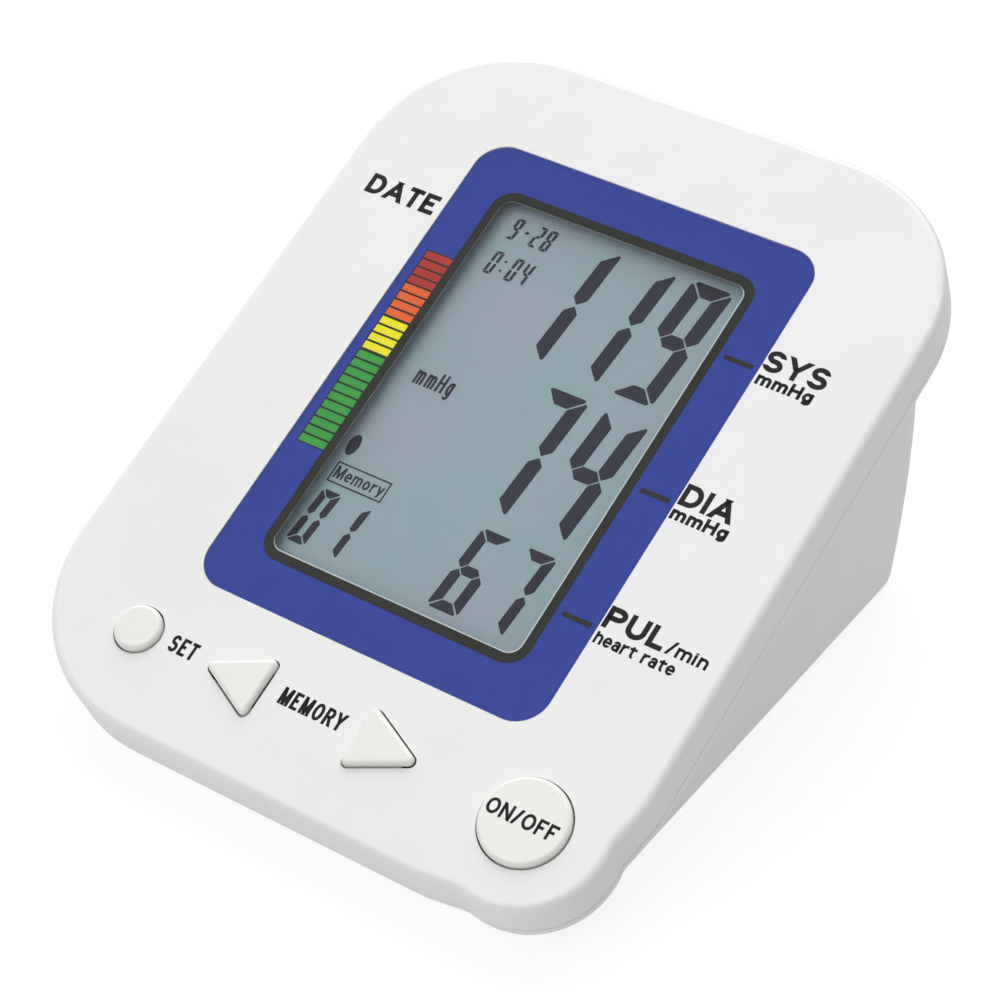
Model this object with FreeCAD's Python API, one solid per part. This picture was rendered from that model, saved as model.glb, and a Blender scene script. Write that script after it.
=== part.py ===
import FreeCAD, Part
import math
import os

# Upper arm blood pressure monitor: a wedge-shaped desk case with a tilted front panel.
# Two frames are used. Panel frame: x right, v up the panel, w out of the panel, with w = 0 on the
# panel's face and the origin at the middle of the window's lower edge. Case frame: X right,
# Y to the back, Z up from the table. All sizes are in millimetres.

Vec = FreeCAD.Vector

# Driving dimensions
TILT = 25.5                 # panel's slope from the table, degrees
PANEL_HALF = 55.8           # panel's right edge, along x
PANEL_LEFT = (-56.4, -55.4)     # panel's left edge at the front and at the rear, along x
PANEL_FRONT = -28.4         # panel's front edge, along v
PANEL_REAR = 114.6          # panel's rear edge, along v
RIM_CLEARANCE = 1.3         # rim's lowest edge above the table
SKIRT = 7.4                 # top cover's depth at its edge
RIM_DEPTH = 9.5             # depth from the panel's face to the rim's underside
PARTING_GAP = 0.14          # groove between the two covers
TOP_WALL = 2.4              # top cover's face thickness
WALL = 2.0                  # other walls
EDGE_ROUND = 1.5            # rounding of the panel's edge
WINDOW = (66.0, 94.9, 5.5)  # window's width, height and corner radius
LENS = 1.4                  # window lens thickness
FOOT_RISE = 1.0             # base above the table
RUN_GAP = 0.3               # gap round each button cap
CAP_RISE = 1.15             # button caps above the panel
CAP_ROUND = 0.8             # rounding of a cap's top edge
BUTTON_TRAVEL = 0.5
CELL_R, CELL_LENGTH, CELL_PITCH = 7.1, 50.0, 14.8

SIN, COS = math.sin(math.radians(TILT)), math.cos(math.radians(TILT))
PANEL_HEIGHT = RIM_CLEARANCE - PANEL_FRONT * SIN + RIM_DEPTH * COS    # Z of the panel frame's origin
FRONT_REACH = (PANEL_FRONT + EDGE_ROUND) * COS + EDGE_ROUND * SIN - EDGE_ROUND
REAR_REACH = PANEL_REAR * COS + RIM_DEPTH * SIN
SHIFT_Y = -(FRONT_REACH + REAR_REACH) / 2     # puts the origin under the middle of the object

PANEL = FreeCAD.Placement(Vec(0, SHIFT_Y, PANEL_HEIGHT), FreeCAD.Rotation(Vec(1, 0, 0), TILT))
CASE = FreeCAD.Placement(Vec(0, SHIFT_Y, 0), FreeCAD.Rotation())

os.makedirs("parts", exist_ok=True)


# Helpers

def save(name, *solids):
    shape = solids[0] if len(solids) == 1 else Part.makeCompound(list(solids))
    shape.exportStep("parts/" + name + ".step")


def on_panel(shape):
    moved = shape.copy()
    moved.transformShape(PANEL.toMatrix(), True)
    return moved


def in_case(shape):
    moved = shape.copy()
    moved.transformShape(CASE.toMatrix(), True)
    return moved


def box(x, y, z):
    # A block from its low and high limits along each axis.
    return Part.makeBox(x[1] - x[0], y[1] - y[0], z[1] - z[0], Vec(x[0], y[0], z[0]))


def rod(radius, start, end):
    start, end = Vec(*start), Vec(*end)
    return Part.makeCylinder(radius, (end - start).Length, start, end - start)


def pipe(outer, inner, start, end):
    return rod(outer, start, end).cut(rod(inner, start, end))


def fused(first, *others):
    return first.multiFuse(list(others)).removeSplitter()


def rounded_wire(corners, z=0.0):
    # A closed outline through (x, y, radius) corners, each rounded by a tangent arc.
    edges, ends = [], []
    count = len(corners)
    for i, (x, y, r) in enumerate(corners):
        here = Vec(x, y, z)
        back = Vec(corners[i - 1][0], corners[i - 1][1], z) - here
        on = Vec(corners[(i + 1) % count][0], corners[(i + 1) % count][1], z) - here
        back.normalize()
        on.normalize()
        half = back.getAngle(on) / 2
        reach = r / math.tan(half)
        first, last = here + back * reach, here + on * reach
        middle = (back + on).normalize()
        crown = here + middle * (r / math.sin(half) - r)
        ends.append((first, crown, last))
    for i, (first, crown, last) in enumerate(ends):
        edges.append(Part.Arc(first, crown, last).toShape())
        edges.append(Part.LineSegment(last, ends[(i + 1) % count][0]).toShape())
    return Part.Wire(edges)


def plate(corners, low, high):
    face = Part.Face(rounded_wire(corners, low))
    return face.extrude(Vec(0, 0, high - low))


def rectangle(x, y, r):
    return [(x[0], y[0], r), (x[1], y[0], r), (x[1], y[1], r), (x[0], y[1], r)]


def rounded_path(points, radius):
    # Straight runs joined by tangent arcs of one radius.
    points = [Vec(*p) for p in points]
    edges, start = [], points[0]
    for before, here, after in zip(points, points[1:], points[2:]):
        back, on = (before - here).normalize(), (after - here).normalize()
        half = back.getAngle(on) / 2
        reach = radius / math.tan(half)
        middle = (back + on).normalize()
        crown = here + middle * (radius / math.sin(half) - radius)
        edges.append(Part.LineSegment(start, here + back * reach).toShape())
        edges.append(Part.Arc(here + back * reach, crown, here + on * reach).toShape())
        start = here + on * reach
    edges.append(Part.LineSegment(start, points[-1]).toShape())
    return Part.Wire(edges)


def swept(points, bend, radius):
    path = rounded_path(points, bend)
    across = Vec(*points[1]) - Vec(*points[0])
    ring = Part.Wire(Part.makeCircle(radius, Vec(*points[0]), across))
    return path.makePipeShell([ring], True, False)


def hose(points, bend, outer, inner):
    return swept(points, bend, outer).cut(swept(points, bend, inner))


def coil(radius, wire_r, turns, length, base, axis=Vec(0, 0, 1)):
    # A spring as closed turns of round wire, joined by one thinner strand along their side.
    pitch = (length - 2 * wire_r) / (turns - 1)
    rings = [Part.makeTorus(radius, wire_r, Vec(0, 0, wire_r + i * pitch)) for i in range(turns)]
    strand = Part.makeCylinder(0.6 * wire_r, length - 2 * wire_r, Vec(radius, 0, wire_r))
    spring = strand.multiFuse(rings)
    turn = FreeCAD.Rotation(Vec(0, 0, 1), axis)
    spring.transformShape(FreeCAD.Placement(Vec(*base), turn).toMatrix(), True)
    return spring


# Case outlines

POWER_AT = (40.2, -13.6)
LOBE_R = 14.3               # the panel's corner swells round the power button


def lobe_tangent(heading, run):
    # The point of the lobe whose outline heads that way, and the point a run before or after it.
    turn = math.radians(heading)
    on_lobe = Vec(POWER_AT[0] + LOBE_R * math.sin(turn), POWER_AT[1] - LOBE_R * math.cos(turn), 0)
    return on_lobe, on_lobe + Vec(math.cos(turn), math.sin(turn), 0) * run


def panel_outline(inset=0.0):
    low, high = -9.0, 96.0                     # outline's heading into and out of the lobe, degrees
    into, notch_front = lobe_tangent(low, -1.7)
    out, notch_side = lobe_tangent(high, 1.4)
    span = math.radians(high - low) / 2
    centre = Vec(POWER_AT[0], POWER_AT[1], 0)
    bisector = (into + out - centre * 2).normalize()
    corner = centre + bisector * (LOBE_R / math.cos(span))
    wire = rounded_wire([
        (PANEL_LEFT[0], PANEL_FRONT, 28.0),
        (29.0, PANEL_FRONT, 22.0),
        (notch_front.x, notch_front.y, 5.0),
        (corner.x, corner.y, LOBE_R),
        (notch_side.x, notch_side.y, 4.0),
        (PANEL_HALF, -3.5, 16.0),
        (PANEL_HALF, PANEL_REAR, 27.5),
        (PANEL_LEFT[1], PANEL_REAR, 27.0)])
    return wire.makeOffset2D(-inset) if inset else wire


def panel_plate(inset, low, high):
    wire = panel_outline(inset)
    wire.translate(Vec(0, 0, low))
    return Part.Face(wire).extrude(Vec(0, 0, high - low))


# The pod is the wedge under the panel. Each level: Z, half width, rear end along Y.
POD_LEVELS = [(FOOT_RISE, 50.8, 95.9), (30.0, 52.5, 93.9), (62.0, 54.8, 84.0)]
POD_FRONT = -17.2


def pod(inset, floor):
    wires = []
    for z, half, rear in POD_LEVELS:
        half, rear, front = half - inset, rear - inset, POD_FRONT + inset
        wires.append(rounded_wire([(-half, front, 25 - inset), (half, front, 14 - inset),
                                   (half, rear, 10 - inset), (-half, rear, 10 - inset)], z))
    block = Part.makeLoft(wires, True, False)
    return block.cut(box((-70, 70), (-40, 120), (-5, floor))) if floor > FOOT_RISE else block


def above_panel_plane(w):
    # Everything on the outer side of a plane parallel to the panel, in the case frame.
    slab = box((-90, 90), (-80, 170), (w, 120))
    slab.transformShape(FreeCAD.Placement(Vec(0, 0, PANEL_HEIGHT),
                                          FreeCAD.Rotation(Vec(1, 0, 0), TILT)).toMatrix(), True)
    return slab


def to_case(shape):
    # From the panel frame to the case frame before the shift that centres the object.
    moved = shape.copy()
    moved.transformShape(FreeCAD.Placement(Vec(0, 0, PANEL_HEIGHT),
                                           FreeCAD.Rotation(Vec(1, 0, 0), TILT)).toMatrix(), True)
    return moved


# Buttons: cap outline corners on the panel, and the place of the switch below

def disc_button(at, radius):
    def outline(grow, low, high):
        return Part.makeCylinder(radius + grow, high - low, Vec(at[0], at[1], low))
    return outline, at


def arrow_button(tip, base_x, half_height):
    # A triangle with its tip on the button row and its upright side at base_x.
    middle = tip[1]
    side = math.hypot(tip[0] - base_x, half_height)
    slant = abs(tip[0] - base_x) / side

    def outline(grow, low, high):
        out = math.copysign(grow, tip[0] - base_x)
        at_tip = (tip[0] + out * side / half_height, middle)
        spread = half_height + grow * (1 + half_height / side) / slant
        corners = [(base_x - out, middle - spread), at_tip, (base_x - out, middle + spread)]
        return plate([(x, y, 0.9 + grow) for x, y in corners], low, high)
    return outline, (base_x + (tip[0] - base_x) / 3, middle)


BUTTONS = {
    "power": disc_button(POWER_AT, 7.4),
    "set": disc_button((-35.3, -12.3), 4.1),
    "memory_back": arrow_button((-21.6, -12.6), -10.0, 5.7),
    "memory_next": arrow_button((20.4, -12.7), 8.6, 5.7),
}
FLANGE_TOP = -TOP_WALL - RUN_GAP
FLANGE_LOW = FLANGE_TOP - 0.8
PCB_TOP, PCB_LOW = -7.4, -9.0
SWITCH_TOP = FLANGE_LOW - 0.7
STEM_R, STEM_BORE = 1.7, 1.76


def button_cap(outline, at):
    cap = outline(0, FLANGE_LOW, CAP_RISE)
    rim = [e for e in cap.Edges if abs(e.BoundBox.ZMin - CAP_RISE) < 1e-6 and e.BoundBox.ZLength < 1e-6]
    cap = cap.makeFillet(CAP_ROUND, rim)
    hollow = outline(-1.3, FLANGE_LOW - 1, CAP_RISE - 1.2)
    post = rod(2.4, (at[0], at[1], FLANGE_LOW), (at[0], at[1], CAP_RISE - 1.0))
    flange = outline(0.9, FLANGE_LOW, FLANGE_TOP).cut(outline(-1.3, FLANGE_LOW - 1, FLANGE_TOP + 1))
    return fused(cap.cut(hollow), post, flange)


for name, (outline, at) in BUTTONS.items():
    save(name + "_button", on_panel(button_cap(outline, at)))
    stem = rod(STEM_R, (at[0], at[1], SWITCH_TOP - 1.2), (at[0], at[1], FLANGE_LOW))
    save(name + "_switch_stem", on_panel(stem))

switches = []
for outline, (x, v) in BUTTONS.values():
    body = box((x - 3, x + 3), (v - 3, v + 3), (PCB_TOP, SWITCH_TOP))
    bore = rod(STEM_BORE, (x, v, SWITCH_TOP - 1.2 - BUTTON_TRAVEL - 0.3), (x, v, SWITCH_TOP + 1))
    switches.append(on_panel(body.cut(bore)))
save("switch_bodies", *switches)


# Screw places. Case screws stand upright in the case frame: x, y, height of the seat.
CASE_SCREWS = [(x, y, z) for x in (-44.8, 44.8) for y, z in ((14.0, 13.0), (79.5, 36.0))]
PCB_SCREWS = [(-43.0, 0.0), (43.0, 0.0), (-37.6, 78.0), (37.6, 78.0)]
BOSS_R, WELL_R, WELL_BORE = 3.2, 3.7, 2.9
SEAT = 1.6


def top_cover():
    blank = panel_plate(0, -SKIRT, 0)
    rim = [e for e in blank.Edges if e.BoundBox.ZMin > -1e-6]
    shell = blank.makeFillet(EDGE_ROUND, rim)
    shell = shell.cut(panel_plate(2.2, -SKIRT - 1, -TOP_WALL))
    width, height, corner = WINDOW
    pocket = rectangle((-width / 2 - 0.25, width / 2 + 0.25), (-0.25, height + 0.25), corner + 0.25)
    shell = shell.cut(plate(pocket, -LENS - 0.25, 1))
    shell = shell.cut(plate(rectangle((-26.6, 26.6), (7.1, 87.9), 3.5), -5, 1))
    for outline, at in BUTTONS.values():
        shell = shell.cut(outline(RUN_GAP, -5, 1))
    posts = [pipe(2.1, 1.1, (x, v, PCB_TOP), (x, v, -TOP_WALL)) for x, v in PCB_SCREWS]
    shell = to_case(fused(shell, *posts))
    keep_off = above_panel_plane(-TOP_WALL + 0.4)
    bosses = []
    for x, y, seat in CASE_SCREWS:
        boss = pipe(BOSS_R, 1.35, (x, y, seat + 0.05), (x, y, 80)).cut(keep_off)
        bosses.append(boss)
    return fused(shell, *bosses)


# Underside of the case
BAY_X, BAY_Y = 2 * CELL_PITCH + 0.2, (36.0, 88.0)
BAY_ROOF = 18.2
BAY_WALL = 1.6
FLOOR = FOOT_RISE + WALL
FEET = [(-36.0, -2.0), (36.0, -2.0), (-41.0, 66.0), (41.0, 66.0)]
FOOT_R = 4.5
HOOK_X, HOOK_HALF = CELL_PITCH, 2.0
SOCKET_Y, SOCKET_Z, SOCKET_R = 62.0, 10.5, 5.8
PUMP_Y, PUMP_Z = 77.0, 33.2
FOAM_R = 12.6


def bottom_cover():
    wedge = pod(0, FOOT_RISE).cut(above_panel_plane(-RIM_DEPTH + 0.5))
    base_edges = [e for e in wedge.Edges if e.BoundBox.ZMax < FOOT_RISE + 1e-3]
    wedge = wedge.makeFillet(2.2, base_edges)
    rim = panel_plate(0, -RIM_DEPTH, -SKIRT - PARTING_GAP)
    lower = [e for e in rim.Edges if e.BoundBox.ZMax < -RIM_DEPTH + 1e-6]
    rim = rim.makeFillet(0.7, lower)
    shell = fused(to_case(rim), wedge).cut(pod(WALL, FLOOR))
    tongue = panel_plate(2.4, -SKIRT - PARTING_GAP, -SKIRT + 1.5)
    tongue = tongue.cut(panel_plate(3.6, -SKIRT - 1, -SKIRT + 2))
    bay = box((-BAY_X - BAY_WALL, BAY_X + BAY_WALL), (BAY_Y[0] - BAY_WALL, BAY_Y[1] + BAY_WALL),
              (FLOOR - 0.5, BAY_ROOF + BAY_WALL))
    ribs = []
    for x in (-8.0, 12.0):
        rib = box((x, x + 2), (PUMP_Y - 12, PUMP_Y + 12), (BAY_ROOF + BAY_WALL - 0.5, PUMP_Z - 2))
        ribs.append(rib.cut(rod(FOAM_R + 0.05, (x - 1, PUMP_Y, PUMP_Z), (x + 3, PUMP_Y, PUMP_Z))))
    wells = [rod(WELL_R, (x, y, FLOOR - 0.5), (x, y, z)) for x, y, z in CASE_SCREWS]
    shell = fused(shell, to_case(tongue), bay, *ribs, *wells)
    shell = shell.cut(box((-BAY_X, BAY_X), BAY_Y, (0, BAY_ROOF)))
    for x, y, z in CASE_SCREWS:
        shell = shell.cut(rod(WELL_BORE, (x, y, 0), (x, y, z - SEAT)))
        shell = shell.cut(rod(1.6, (x, y, 0), (x, y, z + 1)))
    for x, y in FEET:
        shell = shell.cut(rod(FOOT_R + 0.1, (x, y, 0), (x, y, FOOT_RISE + 0.6)))
    for x in (-HOOK_X, HOOK_X):
        shell = shell.cut(box((x - HOOK_HALF - 0.5, x + HOOK_HALF + 0.5),
                              (BAY_Y[0] - BAY_WALL - 0.1, BAY_Y[0] + 0.1), (FLOOR, 6.4)))
    shell = shell.cut(box((-6.5, 6.5), (BAY_Y[1] - 0.1, BAY_Y[1] + 2.4), (0, 6.4)))
    hole = rod(SOCKET_R + 0.05, (-70, SOCKET_Y, SOCKET_Z), (-45, SOCKET_Y, SOCKET_Z))
    return shell.cut(hole)


save("top_cover", in_case(top_cover()))
save("bottom_cover", in_case(bottom_cover()))


# Display
width, height, corner = WINDOW
lens = plate(rectangle((-width / 2, width / 2), (0, height), corner), -LENS - 0.2, -0.2)
lens = lens.makeFillet(0.3, [e for e in lens.Edges if e.BoundBox.ZMin > -0.2 - 1e-6])
save("display_window", on_panel(lens))

holder = plate(rectangle((-35, 35), (1.5, 93.5), 2), PCB_TOP + 0.1, -TOP_WALL - 0.1)
holder = holder.cut(box((-26.5, 26.5), (7.2, 87.7), (-9, 0)))
holder = holder.cut(box((-29.3, 29.3), (4.2, 90.8), (-9, -3.1)))
save("display_holder", on_panel(holder))
save("display_glass", on_panel(box((-29, 29), (4.5, 90.5), (-5.55, -3.15))))
save("display_reflector", on_panel(box((-28, 28), (9, 86), (-5.85, -5.6))))
save("elastomer_connectors", *[on_panel(box((-27, 27), (v, v + 2.4), (PCB_TOP + 0.02, -5.6)))
                               for v in (5.0, 87.6)])


# Circuit board: wide where the buttons are, narrower behind the display
board = plate([(-45.5, -18, 16), (45.5, -18, 8), (46, 4, 1.5), (40, 4, 1), (40, 90, 1), (-40, 90, 1),
               (-40, 4, 1), (-46, 4, 1.5)], PCB_LOW, PCB_TOP)
for x, v in PCB_SCREWS:
    board = board.cut(rod(1.2, (x, v, -12), (x, v, 0)))
save("main_board", on_panel(board))


def machine_screw(head_r, head_height, shank_r, length):
    # Head below z = 0, shank above it, with a cross recess in the head.
    screw = fused(Part.makeCylinder(head_r, head_height, Vec(0, 0, -head_height)),
                  Part.makeCylinder(shank_r, length))
    for turn in (0, 90):
        slot = box((-head_r * 0.6, head_r * 0.6), (-0.25, 0.25), (-head_height - 1, -head_height * 0.45))
        slot.rotate(Vec(0, 0, 0), Vec(0, 0, 1), turn)
        screw = screw.cut(slot)
    return screw


def placed(shape, x, y, z):
    moved = shape.copy()
    moved.translate(Vec(x, y, z))
    return moved


save("board_screws", *[on_panel(placed(machine_screw(1.9, 1.2, 1.0, 6.0), x, v, PCB_LOW - 0.02))
                       for x, v in PCB_SCREWS])
save("case_screws", *[in_case(placed(machine_screw(2.6, 1.8, 1.25, 10.0), x, y, z - SEAT - 0.02))
                      for x, y, z in CASE_SCREWS])

chip = fused(box((-7, 7), (23, 37), (PCB_LOW - 1.4, PCB_LOW - 0.15)),
             box((-7.9, 7.9), (24, 36), (PCB_LOW - 0.5, PCB_LOW)),
             box((-6, 6), (22.1, 37.9), (PCB_LOW - 0.5, PCB_LOW)))
save("processor_chip", on_panel(chip))
save("memory_chip", on_panel(box((16, 21), (14, 18), (PCB_LOW - 1.5, PCB_LOW))))
save("clock_crystal", on_panel(fused(box((-20, -12), (14.5, 16.5), (PCB_LOW - 2.4, PCB_LOW)),
                                     rod(1.2, (-20, 15.5, PCB_LOW - 1.2), (-12, 15.5, PCB_LOW - 1.2)))))
save("capacitors", *[on_panel(rod(3.1, (x, 51, PCB_LOW - 7), (x, 51, PCB_LOW))) for x in (4.0, 12.0)])
buzzer = rod(6, (25, 44, PCB_LOW - 5), (25, 44, PCB_LOW))
buzzer = buzzer.cut(rod(1, (25, 44, PCB_LOW - 6), (25, 44, PCB_LOW - 3)))
save("buzzer", on_panel(buzzer))

# Air path. LINE_X is the upright line that the manifold, valve and socket elbow share.
LINE_X, MAIN_Z, VALVE_Z, VALVE_Y = -37.2, 29.5, 22.5, 46.0
HOSE_R, HOSE_BORE, NIPPLE_R, NIPPLE_BORE = 2.5, 1.55, 1.5, 0.7
SENSOR_V = 44.0
SENSOR_W = (MAIN_Z - PANEL_HEIGHT - SENSOR_V * SIN) / COS
SENSOR_Y = SENSOR_V * COS - SENSOR_W * SIN

sensor = box((-28.5, -19.5), (SENSOR_V - 4.5, SENSOR_V + 4.5), (SENSOR_W - 2.4, PCB_LOW))
sensor = fused(to_case(sensor), rod(NIPPLE_R, (-32.0, SENSOR_Y, MAIN_Z), (-28.0, SENSOR_Y, MAIN_Z)))
sensor = sensor.cut(rod(NIPPLE_BORE, (-33.0, SENSOR_Y, MAIN_Z), (-26.0, SENSOR_Y, MAIN_Z)))
save("pressure_sensor", in_case(sensor))

manifold = rod(2.6, (LINE_X, SOCKET_Y, 20), (LINE_X, SOCKET_Y, 32.5))
ports = {
    "socket": ((LINE_X, SOCKET_Y, 15.6), (LINE_X, SOCKET_Y, 21)),
    "valve": ((LINE_X, 56.5, VALVE_Z), (LINE_X, SOCKET_Y - 1, VALVE_Z)),
    "sensor": ((LINE_X, 56.5, MAIN_Z), (LINE_X, SOCKET_Y - 1, MAIN_Z)),
    "pump": ((LINE_X, 67.4, MAIN_Z), (LINE_X, SOCKET_Y + 1, MAIN_Z)),
    "bleed": ((-42.5, SOCKET_Y, MAIN_Z), (LINE_X - 1, SOCKET_Y, MAIN_Z)),
}
manifold = fused(manifold, *[rod(NIPPLE_R, a, b) for a, b in ports.values()])
manifold = manifold.cut(rod(1.0, (LINE_X, SOCKET_Y, 20.5), (LINE_X, SOCKET_Y, 31.0)))
for a, b in ports.values():
    manifold = manifold.cut(rod(NIPPLE_BORE, a, b))
save("air_manifold", in_case(manifold))

save("socket_hose", in_case(hose([(-43.9, SOCKET_Y, SOCKET_Z), (LINE_X, SOCKET_Y, SOCKET_Z),
                                  (LINE_X, SOCKET_Y, 19.9)], 4.2, HOSE_R, HOSE_BORE)))
save("sensor_hose", in_case(hose([(-28.6, SENSOR_Y, MAIN_Z), (LINE_X, SENSOR_Y, MAIN_Z),
                                  (LINE_X, 59.3, MAIN_Z)], 4.8, HOSE_R, HOSE_BORE)))
save("pump_hose", in_case(hose([(-18.2, PUMP_Y, MAIN_Z), (LINE_X, PUMP_Y, MAIN_Z),
                                (LINE_X, 64.7, MAIN_Z)], 8.0, HOSE_R, HOSE_BORE)))
save("valve_hose", in_case(pipe(HOSE_R, HOSE_BORE, (LINE_X, VALVE_Y + 5.8, VALVE_Z),
                                (LINE_X, 59.3, VALVE_Z))))
bleed = rod(2.8, (-48.6, SOCKET_Y, MAIN_Z), (-39.9, SOCKET_Y, MAIN_Z))
bleed = bleed.cut(rod(HOSE_BORE, (-44.0, SOCKET_Y, MAIN_Z), (-39.0, SOCKET_Y, MAIN_Z)))
save("bleed_valve", in_case(bleed.cut(rod(0.4, (-49, SOCKET_Y, MAIN_Z), (-39, SOCKET_Y, MAIN_Z)))))

# Socket for the cuff's air plug
SOCKET_FACE, SOCKET_DEEP = -51.0, 6.0
PLUG_R = 4.1
socket = fused(rod(SOCKET_R, (SOCKET_FACE, SOCKET_Y, SOCKET_Z), (-44.0, SOCKET_Y, SOCKET_Z)),
               rod(NIPPLE_R, (-44.5, SOCKET_Y, SOCKET_Z), (-41.6, SOCKET_Y, SOCKET_Z)))
bore_end = SOCKET_FACE + SOCKET_DEEP
socket = socket.cut(rod(PLUG_R, (SOCKET_FACE - 1, SOCKET_Y, SOCKET_Z), (bore_end, SOCKET_Y, SOCKET_Z)))
socket = socket.cut(rod(NIPPLE_BORE, (SOCKET_FACE, SOCKET_Y, SOCKET_Z), (-41, SOCKET_Y, SOCKET_Z)))
save("air_socket", in_case(socket))

# Exhaust valve: an upright solenoid that lifts its plunger to close the seat above it
yoke = box((LINE_X - 5.6, LINE_X + 5.6), (VALVE_Y - 5.8, VALVE_Y + 5.8), (3.4, 18.0))
yoke = yoke.cut(box((LINE_X - 7, LINE_X + 4.6), (VALVE_Y - 7, VALVE_Y + 7), (4.4, 17.0)))
yoke = yoke.cut(rod(2.15, (LINE_X, VALVE_Y, 10), (LINE_X, VALVE_Y, 20)))
save("valve_yoke", in_case(yoke))
winding = rod(4.4, (LINE_X, VALVE_Y, 5.4), (LINE_X, VALVE_Y, 16.0))
flanges = [rod(4.55, (LINE_X, VALVE_Y, z), (LINE_X, VALVE_Y, z + 0.9)) for z in (4.5, 16.0)]
bobbin_bore = rod(2.1, (LINE_X, VALVE_Y, 6.6), (LINE_X, VALVE_Y, 20))
save("valve_coil", in_case(fused(winding, *flanges).cut(bobbin_bore)))
seat_block = rod(5.4, (LINE_X, VALVE_Y, 18.05), (LINE_X, VALVE_Y, 26.0))
seat_block = fused(seat_block, rod(NIPPLE_R, (LINE_X, VALVE_Y, VALVE_Z), (LINE_X, VALVE_Y + 9.5, VALVE_Z)))
seat_block = seat_block.cut(rod(3.2, (LINE_X, VALVE_Y, 17), (LINE_X, VALVE_Y, 21.8)))
seat_block = seat_block.cut(rod(NIPPLE_BORE, (LINE_X, VALVE_Y, 21), (LINE_X, VALVE_Y, 22.8)))
seat_block = seat_block.cut(rod(NIPPLE_BORE, (LINE_X, VALVE_Y, VALVE_Z), (LINE_X, VALVE_Y + 10, VALVE_Z)))
save("valve_seat", in_case(seat_block))
plunger = fused(rod(2.05, (LINE_X, VALVE_Y, 8.2), (LINE_X, VALVE_Y, 18.2)),
                rod(1.1, (LINE_X, VALVE_Y, 18.0), (LINE_X, VALVE_Y, 20.4)))
save("valve_plunger", in_case(plunger))
SPRING_LOW, SPRING_HIGH = 18.25, 21.75
save("valve_spring", in_case(coil(1.6, 0.2, 4, SPRING_HIGH - SPRING_LOW, (LINE_X, VALVE_Y, SPRING_LOW))))

# Air pump: motor, crank housing, diaphragm and valve cap in a row along X
CRANK_X, MOTOR_X, MOTOR_END = -9.6, 1.0, 26.0
MOTOR_R, MOTOR_HALF = 10.2, 7.6


def motor_shape(inset, x):
    can = rod(MOTOR_R - inset, (x[0], PUMP_Y, PUMP_Z), (x[1], PUMP_Y, PUMP_Z))
    half = MOTOR_HALF - inset
    return can.common(box(x, (PUMP_Y - 15, PUMP_Y + 15), (PUMP_Z - half, PUMP_Z + half)))


def on_axis(radius, x):
    return rod(radius, (x[0], PUMP_Y, PUMP_Z), (x[1], PUMP_Y, PUMP_Z))


can = motor_shape(0, (MOTOR_X, MOTOR_END)).cut(motor_shape(0.8, (MOTOR_X + 0.8, MOTOR_END - 1.2)))
can = fused(can, on_axis(3, (MOTOR_END - 0.1, MOTOR_END + 1.6)))
can = can.cut(on_axis(1.05, (MOTOR_X - 1, MOTOR_END + 3)))
save("motor_can", in_case(can))
magnets = []
for side in (-1, 1):
    arc = on_axis(9.2, (7, 20)).cut(on_axis(7.0, (6, 21)))
    y = sorted((PUMP_Y, PUMP_Y + side * 12))
    magnets.append(in_case(arc.common(box((5, 22), y, (PUMP_Z - 5, PUMP_Z + 5)))))
save("motor_magnets", *magnets)
rotor = fused(on_axis(1.0, (-6.6, MOTOR_END + 2.2)), on_axis(6.2, (7, 20)), on_axis(3.0, (20.5, 23.0)))
crank = rod(4.0, (-6.0, PUMP_Y, PUMP_Z), (-2.5, PUMP_Y, PUMP_Z))
pin = rod(0.8, (-8.2, PUMP_Y + 2.2, PUMP_Z), (-5.0, PUMP_Y + 2.2, PUMP_Z))
save("pump_rotor", in_case(fused(rotor, crank, pin)))
housing = on_axis(11.0, (CRANK_X, MOTOR_X - 0.05)).cut(on_axis(9.0, (CRANK_X - 1, MOTOR_X - 1.6)))
save("pump_housing", in_case(housing.cut(on_axis(1.05, (-2, 2)))))
save("pump_diaphragm", in_case(on_axis(11.0, (CRANK_X - 1.3, CRANK_X - 0.05))))
cap = fused(on_axis(11.0, (-18.0, CRANK_X - 1.35)),
            rod(NIPPLE_R, (-23.0, PUMP_Y, MAIN_Z), (-17.0, PUMP_Y, MAIN_Z)))
save("pump_cap", in_case(cap.cut(rod(NIPPLE_BORE, (-24.0, PUMP_Y, MAIN_Z), (-13.0, PUMP_Y, MAIN_Z)))))
sleeve = on_axis(FOAM_R, (-15.0, 22.0)).cut(on_axis(11.05, (-16.0, MOTOR_X)))
save("pump_foam_sleeve", in_case(sleeve.cut(on_axis(10.25, (MOTOR_X - 1, 23)))))

# Battery bay: four cells side by side, poles alternating
CELL_Z = FLOOR + 0.5 + CELL_R
CELL_Y = (BAY_Y[0] + 1.0, BAY_Y[0] + 1.0 + CELL_LENGTH - 1.2)
cells, springs, contacts = [], [], []
for i in range(4):
    x = (i - 1.5) * CELL_PITCH
    forward = 1 if i % 2 else -1
    front, back = CELL_Y
    pole = (back, back + 1.1) if forward > 0 else (front - 0.9, front)
    cell = fused(rod(CELL_R, (x, front, CELL_Z), (x, back, CELL_Z)),
                 rod(2.7, (x, pole[0], CELL_Z), (x, pole[1], CELL_Z)))
    cells.append(in_case(cell))
save("battery_cells", *cells)
for i in range(4):
    x = (i - 1.5) * CELL_PITCH
    y = BAY_Y[1] - 0.45 if i % 2 == 0 else BAY_Y[0] + 0.05
    contacts.append(in_case(box((x - 5, x + 5), (y, y + 0.4), (6.6, BAY_ROOF - 1))))
    if i % 2 == 0:
        springs.append(in_case(coil(3.2, 0.3, 2, 1.6, (x, CELL_Y[1] + 0.05, CELL_Z), Vec(0, 1, 0))))
save("battery_contacts", *contacts)
save("battery_springs", *springs)

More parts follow.
